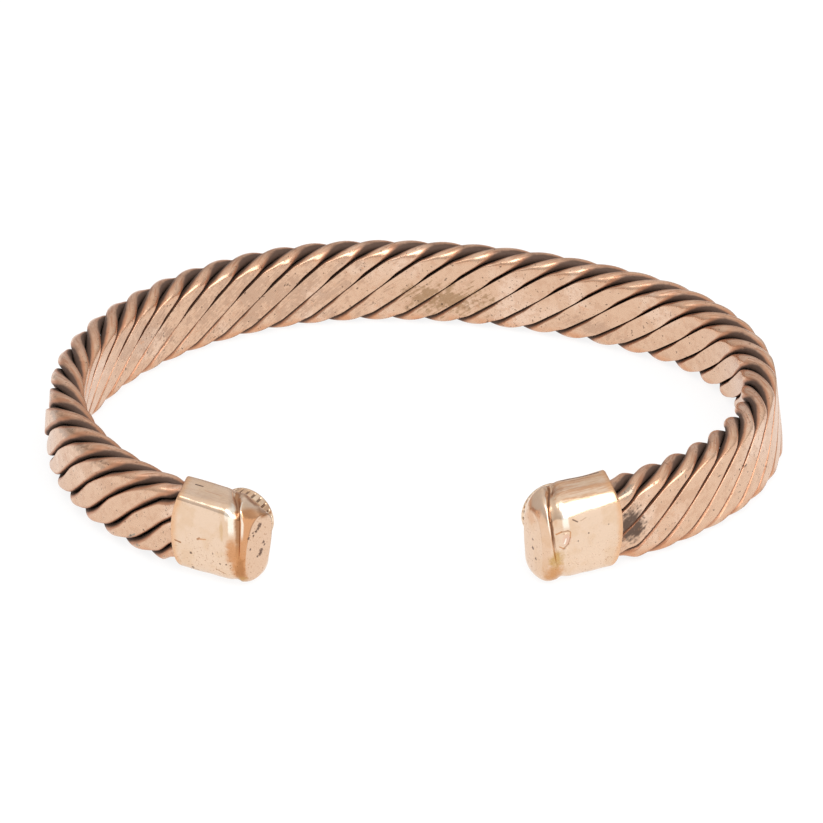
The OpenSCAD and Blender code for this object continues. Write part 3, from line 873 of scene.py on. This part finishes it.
# what marks each cap: places are along, out and up in its own frame, in millimetres
marksRight = {
    # centre, half sizes, colour, strength, raggedness
    "stains": [((6.35, 2.1, 1.1), (1.15, 1.6, 1.7), "amber", 0.9, 0.45),
               ((6.2, 2.1, 2.7), (0.85, 1.6, 1.0), "olive", 0.9, 0.5),
               # a painted golden reflection just before the crease
               ((6.3, 2.1, 6.4), (0.3, 0.7, 1.3), "orange", 0.5, 0.3),
               ((5.2, -0.6, 8.0), (0.9, 1.2, 0.5), "brown", 0.5, 0.6),
               ((7.0, 0.2, 7.2), (0.6, 1.6, 0.9), "polished", 0.8, 0.4),
               ((7.4, -0.4, 6.0), (0.6, 1.0, 0.8), "orange", 0.4, 0.6),
               ((5.3, 2.1, 4.5), (0.5, 0.6, 0.75), "pinkish", 0.7, 0.3),
               ((3.0, 0.4, 8.1), (4.4, 0.4, 0.5), "orange", 0.3, 0.7),
               ((3.0, -0.9, 8.1), (4.4, 0.5, 0.5), "orange", 0.35, 0.7)],
    # side, from, to, half width, colour, strength; places are along and across that side
    "strokes": [("outer", (4.75, 6.3), (4.3, 6.0), 0.06, "dark", 0.8),
                ("outer", (4.0, 6.0), (3.5, 6.2), 0.04, "brown", 0.5),
                ("outer", (6.1, 5.0), (5.75, 5.3), 0.07, "orange", 0.9),
                ("outer", (5.75, 5.3), (5.2, 5.32), 0.08, "brown", 0.6),
                ("outer", (5.2, 5.32), (4.95, 5.15), 0.06, "brown", 0.6),
                ("outer", (4.95, 5.15), (4.95, 4.6), 0.06, "orange", 0.8),
                ("outer", (4.95, 4.6), (5.1, 4.0), 0.06, "brown", 0.5),
                ("outer", (5.1, 4.0), (5.5, 3.6), 0.08, "brown", 0.6),
                ("outer", (5.5, 3.6), (5.8, 3.75), 0.06, "orange", 0.8),
                # a painted highlight: a glint on the lump
                ("outer", (5.4, 4.6), (5.5, 4.15), 0.08, "pale", 0.9),
                ("top", (4.06, -1.42), (0.56, -1.28), 0.07, "dark", 0.95),
                ("top", (3.4, -1.05), (1.6, -0.95), 0.04, "brown", 0.6)],
    # side, centre, size
    "pits": [("end", (0.17, 4.09), 0.12), ("end", (0.19, 3.25), 0.16), ("end", (0.66, 2.43), 0.14),
             ("outer", (3.2, 4.6), 0.08), ("outer", (4.2, 4.1), 0.07), ("outer", (1.3, 5.0), 0.07)],
    # painted highlight bands before the crease: place past it, half width, lowest height, strength;
    # lip is the strength of the painted highlight on the crease's lip
    "highlightBands": [(-1.15, 0.36, 5.5, 0.95)], "lip": 0.9, "streaky": "orange",
    "creased": 0.16, "seam": 0.6, "speckled": 0.6, "endRosy": 0.35, "endRim": 0.25,
}
marksLeft = {
    "stains": [((5.6, 1.9, 3.5), (0.95, 1.4, 1.8), "orange", 0.9, 0.4),
               ((6.0, 1.7, 2.0), (0.75, 1.4, 2.2), "orange", 0.9, 0.4),
               ((6.1, 1.7, 1.6), (0.5, 1.4, 1.8), "brown", 0.55, 0.6),
               ((6.1, 1.6, 0.7), (0.5, 1.2, 0.8), "olive", 0.6, 0.6),
               ((5.9, -1.2, 7.3), (1.45, 0.6, 0.9), "brown", 0.85, 0.35),
               ((6.9, -0.9, 6.6), (0.6, 0.8, 0.8), "brown", 0.7, 0.4),
               ((4.5, 2.0, 5.6), (0.2, 0.6, 1.3), "olive", 0.4, 0.5)],
    "strokes": [("outer", (2.1, 4.05), (2.9, 4.2), 0.07, "orange", 0.8),
                ("outer", (2.1, 4.0), (2.3, 4.2), 0.09, "brown", 0.6),
                ("outer", (-0.1, 3.35), (0.45, 3.28), 0.09, "brown", 0.85),
                ("outer", (3.9, 1.6), (4.8, 1.3), 0.05, "brown", 0.6),
                ("outer", (1.2, 0.75), (2.0, 0.8), 0.08, "brown", 0.5),
                ("top", (0.73, -0.33), (1.4, -0.37), 0.08, "dark", 0.9),
                ("top", (0.3, -1.3), (4.4, -1.25), 0.05, "brown", 0.8),
                ("top", (1.9, 0.1), (3.6, 0.25), 0.04, "orange", 0.5)],
    "pits": [("end", (-0.23, 5.62), 0.26), ("end", (-0.05, 5.35), 0.16), ("end", (0.20, 5.2), 0.16),
             ("end", (1.03, 4.88), 0.13), ("end", (0.5, 4.9), 0.12), ("end", (-0.63, 3.79), 0.16),
             ("end", (-0.75, 3.5), 0.12), ("end", (-0.34, 3.11), 0.24), ("end", (-0.2, 2.83), 0.22),
             ("end", (0.1, 2.7), 0.12), ("end", (0.9, 3.73), 0.12), ("end", (0.55, 5.2), 0.1),
             ("outer", (1.45, 2.5), 0.12), ("outer", (3.6, 3.0), 0.07), ("outer", (1.5, 1.0), 0.13),
             ("outer", (4.3, 2.2), 0.09), ("outer", (4.9, 2.3), 0.08)],
    "highlightBands": [(-0.62, 0.24, 5.2, 1.0), (-0.75, 0.5, 6.6, 0.8)], "lip": 0.8, "streaky": "rosy",
    "creased": 0.3, "seam": 0.0, "speckled": 1.0, "endRosy": 0.8, "endRim": 0.85,
}


def vectorMath(tree, operation, *values):
    return makeNode(tree, "ShaderNodeVectorMath", {"operation": operation},
                    dict(enumerate(values)))[0]


# how far a place lies from a centre, in half sizes
def apartFrom(tree, spot, centre, sizes):
    away = vectorMath(tree, "DIVIDE", vectorMath(tree, "SUBTRACT", spot, centre), sizes)
    return vectorMath(tree, "LENGTH", away)


# how far a place lies from the straight line between two points
def apartFromLine(tree, spot, start, end):
    run = Vector(end) - Vector(start)
    away = vectorMath(tree, "SUBTRACT", spot, tuple(start))
    share = (vectorMath(tree, "DOT_PRODUCT", away, tuple(run)) / run.length_squared).clamp()
    nearest = makeNode(tree, "ShaderNodeVectorMath", {"operation": "SCALE"},
                       {0: tuple(run), "Scale": share})[0]
    return vectorMath(tree, "LENGTH", vectorMath(tree, "SUBTRACT", away, nearest))


# the golden rim round the mouth and the rounded rim of the end plate
def capRims(coats, given, marks, x, y, z, plate, ragged):
    bow = given["mouthShift"] + given["mouthSkew"] * y / given["thickness"] - (
        given["mouthBow"] * (1 - (2 * z / given["height"] - 1) ** 2))
    coats.lay((1 - smooth(0.1, 0.75, x - bow + (ragged - 0.5) * 0.5)) * 0.6, "golden")
    turn = smooth(0.1, 0.35, plate) * (1 - smooth(0.82, 0.92, plate)) * smooth(-1.2, 0.2, y)
    coats.lay(turn * smooth(-1.0, 3.0, z) * marks["endRim"], "orange")
    outline = (1 - smooth(0.02, 0.06, abs(plate - 0.88))) * smooth(3.6, 5.0, z) * (y > -1.2)
    coats.lay(outline * marks["endRim"] * 0.7, "brown")


# painted highlight bands before the crease, a painted highlight on its lip, its brown bottom of
# patina and painted shade, and its dark seam
def creaseLightAndMarks(coats, marks, y, z, past, ragged, grain):
    # each band is a painted highlight in pale, standing in for the white highlight column
    for at, half, low, strength in marks["highlightBands"]:
        stripe = 1 - smooth(half * 0.55, half * 1.15, abs(past - at) + (ragged - 0.5) * 0.15)
        high = smooth(low - 0.3, low + 0.5, z) * (1 - smooth(7.3, 7.7, z))
        coats.lay(stripe * high * (y > 0.5) * strength, "pale")
    wide = marks["creased"]
    # a painted highlight along the crease's lip, in pale
    lip = 1 - smooth(0.03, 0.13, abs(past - wide - 0.18))
    coats.lay(lip * smooth(4.6, 5.6, z) * (y > 0) * marks["lip"], "pale")
    # brown down the crease's bottom: patina, with painted shade of the hollow
    valley = (1 - smooth(wide * 0.6, wide * 1.2, abs(past) + (ragged - 0.5) * wide)) * (
        smooth(2.5, 5.2, z)) * (y > -1.7)
    coats.lay(valley * 0.85, "brown")
    seam = (1 - smooth(0.05, 0.11, abs(past) + (grain - 0.5) * 0.08)) * smooth(3.2, 5.0, z)
    coats.lay(seam * (y > -1.4) * marks["seam"], "dark")


# strokes and pits on the flattened sides; returns where they sink into the metal, leaving out the
# pale strokes, which are painted highlights
def capScars(coats, marks, sides, spot, grain):
    tree = coats.tree
    sunk = 0
    for way, start, end, width, name, strength in marks["strokes"]:
        place, seen = sides[way]
        away = apartFromLine(tree, place, start + (0,), end + (0,)) + (grain - 0.5) * width
        mask = (1 - smooth(width * 0.5, width * 1.3, away)) * seen * strength
        coats.lay(mask, name)
        if name != "pale":
            sunk = sunk + mask
    blotches = noise(tree, spot, 14.0, 2.0)
    for way, centre, size in marks["pits"]:
        place, seen = sides[way]
        away = apartFrom(tree, place, centre + (0,), (size, size, 1.0)) + (blotches - 0.5) * 2.2
        mask = (1 - smooth(0.6, 1.1, away)) * seen
        coats.lay(mask * 0.85, "dark")
        sunk = sunk + mask
    return sunk


def capCopper(side, given, marks):
    material, tree = newMaterial("capCopper_" + side)
    spot = makeNode(tree, "ShaderNodeAttribute", {"attribute_name": "spot"})[1]
    plate, past = attribute(tree, "plate"), attribute(tree, "pastCrease")
    x, y, z = makeNode(tree, "ShaderNodeSeparateXYZ", None, {0: spot})
    # each side as a flat drawing, and where it is seen
    sides = {"outer": (joined(tree, x, z), (y > 0.6) * (plate < 0.6)),
             "top": (joined(tree, x, y), z > 7), "end": (joined(tree, y, z), plate > 0.6)}
    cloud = noise(tree, spot, 0.7, 3.0)
    ragged = noise(tree, spot, 2.2, 4.0, 0.6)
    grain = noise(tree, spot, 9.0, 3.0, 0.6)
    streaks = noise(tree, vectorMath(tree, "MULTIPLY", spot, (0.5, 6.0, 6.0)), 1.0, 3.0)
    coats = Coats(tree, capFinish, "polished")
    coats.lay(smooth(0.40, 0.62, cloud), "duller")
    coats.lay(smooth(0.75, 1.0, plate) * marks["endRosy"], "rosy")
    # streaky top side
    top = smooth(given["height"] - 0.6, given["height"] - 0.25, z) * (past < -0.3)
    coats.lay(top * smooth(0.42, 0.62, streaks) * 0.5, marks["streaky"])
    capRims(coats, given, marks, x, y, z, plate, ragged)
    for centre, sizes, name, strength, rough in marks["stains"]:
        away = apartFrom(tree, spot, centre, sizes) + (ragged - 0.5) * (2.4 * rough)
        coats.lay((1 - smooth(0.35, 1.05, away)) * strength, name)
    creaseLightAndMarks(coats, marks, y, z, past, ragged, grain)
    sunk = capScars(coats, marks, sides, spot, grain)
    # tiny specks, more of them low down and on the end
    specks = smooth(0.62, 0.70, noise(tree, spot, 6.5, 2.0, 0.4)) * (
        0.25 + 0.75 * (1 - smooth(1.5, 5.0, z)) + 0.8 * smooth(0.7, 1.0, plate)).clamp()
    coats.lay(specks * (marks["speckled"] * 0.6), "brown")
    height = (cloud * 0.6 + ragged * 0.10 + streaks * top * 0.25 + grain * 0.02
              - sunk * 0.12 - specks * 0.06)
    closeMaterial(tree, {
        "Base Color": coats.colour, "Metallic": 1.0,
        "Roughness": capFinish["roughness"] + 0.12 * ragged + 0.2 * specks,
        "Normal": bumped(tree, height, capFinish["bump"])})
    return material


# brighter copper of the settings, dull in the dish
settingFinish = {
    "bright": rgb(238, 212, 184), "warm": rgb(222, 184, 150), "dish": rgb(150, 112, 84),
    "brown": capFinish["brown"], "dark": capFinish["dark"], "roughness": 0.2,
}


def settingCopper():
    material, tree = newMaterial("settingCopper")
    notch, high, radial = (attribute(tree, name) for name in ("notch", "high", "radial"))
    cloud = noise(tree, makeNode(tree, "ShaderNodeTexCoord")[3], 900, 3.0)
    above = high - setting["footDepth"]
    coats = Coats(tree, settingFinish, "bright")
    coats.lay(smooth(0.4, 0.65, cloud), "warm")
    coats.lay((1 - smooth(0.0, 0.3, above + (cloud - 0.5) * 0.2)) * 0.6, "brown")
    coats.lay(smooth(0.25, 0.8, notch) * 0.7, "dark")
    dish = (1 - smooth(1.6, 1.95, radial)) * smooth(0.7, 1.0, above)
    coats.lay(dish * 0.45, "dish")
    closeMaterial(tree, {"Base Color": coats.colour, "Metallic": 1.0,
                         "Roughness": settingFinish["roughness"] + 0.2 * dish})
    return material


toothedCopper = settingCopper()
tree, names = settingTree()
for side, given, marks in (("left", capLeft, marksLeft), ("right", capRight, marksRight)):
    piece = makeCap(side, given, capCopper(side, given, marks))
    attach(piece, "root")
    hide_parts("end_cap_" + side)
    piece = madeByTree("setting_" + side, tree, names, {
        "Copper": toothedCopper, "Teeth": setting["teeth"],
        "Points per tooth": setting["pointsPerTooth"], "Profile points": setting["profilePoints"],
        "Notch depth": setting["notchDepth"]})
    piece.data.transform(capFrame(side) @ Matrix.Translation(
        (given["length"] - setting["fromEnd"], setting["footDepth"] - given["thickness"] / 2,
         setting["height"])))
    made = bmesh.new()
    made.from_mesh(piece.data)
    bmesh.ops.recalc_face_normals(made, faces=made.faces[:])
    made.to_mesh(piece.data)
    made.free()
    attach(piece, "root")
    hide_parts("bezel_" + side)
print("caps and settings made")


# pale floor and soft studio light
studio = {
    "horizon": (0.62, 0.61, 0.61), "overhead": (0.95, 0.95, 0.95), "skyFrom": 0.1, "skyFull": 0.95,
    "floorHalf": 3.0, "floorGrey": 0.14, "floorRoughness": 0.9, "floorGlow": 0.86,
    # place, width, height, brightness; each faces the bangle
    "softboxes": [("softboxFront", (0.06, -0.36, 0.62), 0.44, 0.34, 3.2),
                  ("softboxRight", (0.50, -0.42, 0.38), 0.36, 0.72, 2.8),
                  ("softboxLeft", (-0.42, -0.24, 0.58), 0.24, 0.16, 2.2)],
}


def makeFloor():
    mesh = bpy.data.meshes.new("floor")
    half = studio["floorHalf"]
    mesh.from_pydata([(-half, -half, 0), (half, -half, 0), (half, half, 0), (-half, half, 0)],
                     [], [(0, 1, 2, 3)])
    floor = bpy.data.objects.new("floor", mesh)
    scene.collection.objects.link(floor)
    material, tree = newMaterial("paleFloor")
    closeMaterial(tree, {"Base Color": (studio["floorGrey"],) * 3 + (1,),
                         "Roughness": studio["floorRoughness"],
                         "Emission Color": (1, 1, 1, 1), "Emission Strength": studio["floorGlow"]})
    mesh.materials.append(material)


def makeLights():
    scene.view_settings.view_transform = "Standard"
    world = bpy.data.worlds.new("studio")
    scene.world = world
    world.use_nodes = True
    tree = world.node_tree
    tree.nodes.clear()
    direction = makeNode(tree, "ShaderNodeTexCoord")[0]
    up = makeNode(tree, "ShaderNodeSeparateXYZ", None, {0: direction})[2]
    sky = mixColour(tree, smooth(studio["skyFrom"], studio["skyFull"], up),
                    studio["horizon"] + (1,), studio["overhead"] + (1,))
    back = makeNode(tree, "ShaderNodeBackground", None, {"Color": sky, "Strength": 1.0})[0]
    tree.links.new(back.socket, tree.nodes.new("ShaderNodeOutputWorld").inputs[0])
    for name, place, width, height, bright in studio["softboxes"]:
        light = bpy.data.lights.new(name, "AREA")
        light.shape = "RECTANGLE"
        light.size, light.size_y = width, height
        light.energy = bright * math.pi * width * height
        lamp = bpy.data.objects.new(name, light)
        lamp.location = place
        lamp.rotation_euler = (-Vector(place)).to_track_quat("-Z", "Y").to_euler()
        scene.collection.objects.link(lamp)
    print("studio lit")


makeFloor()
makeLights()
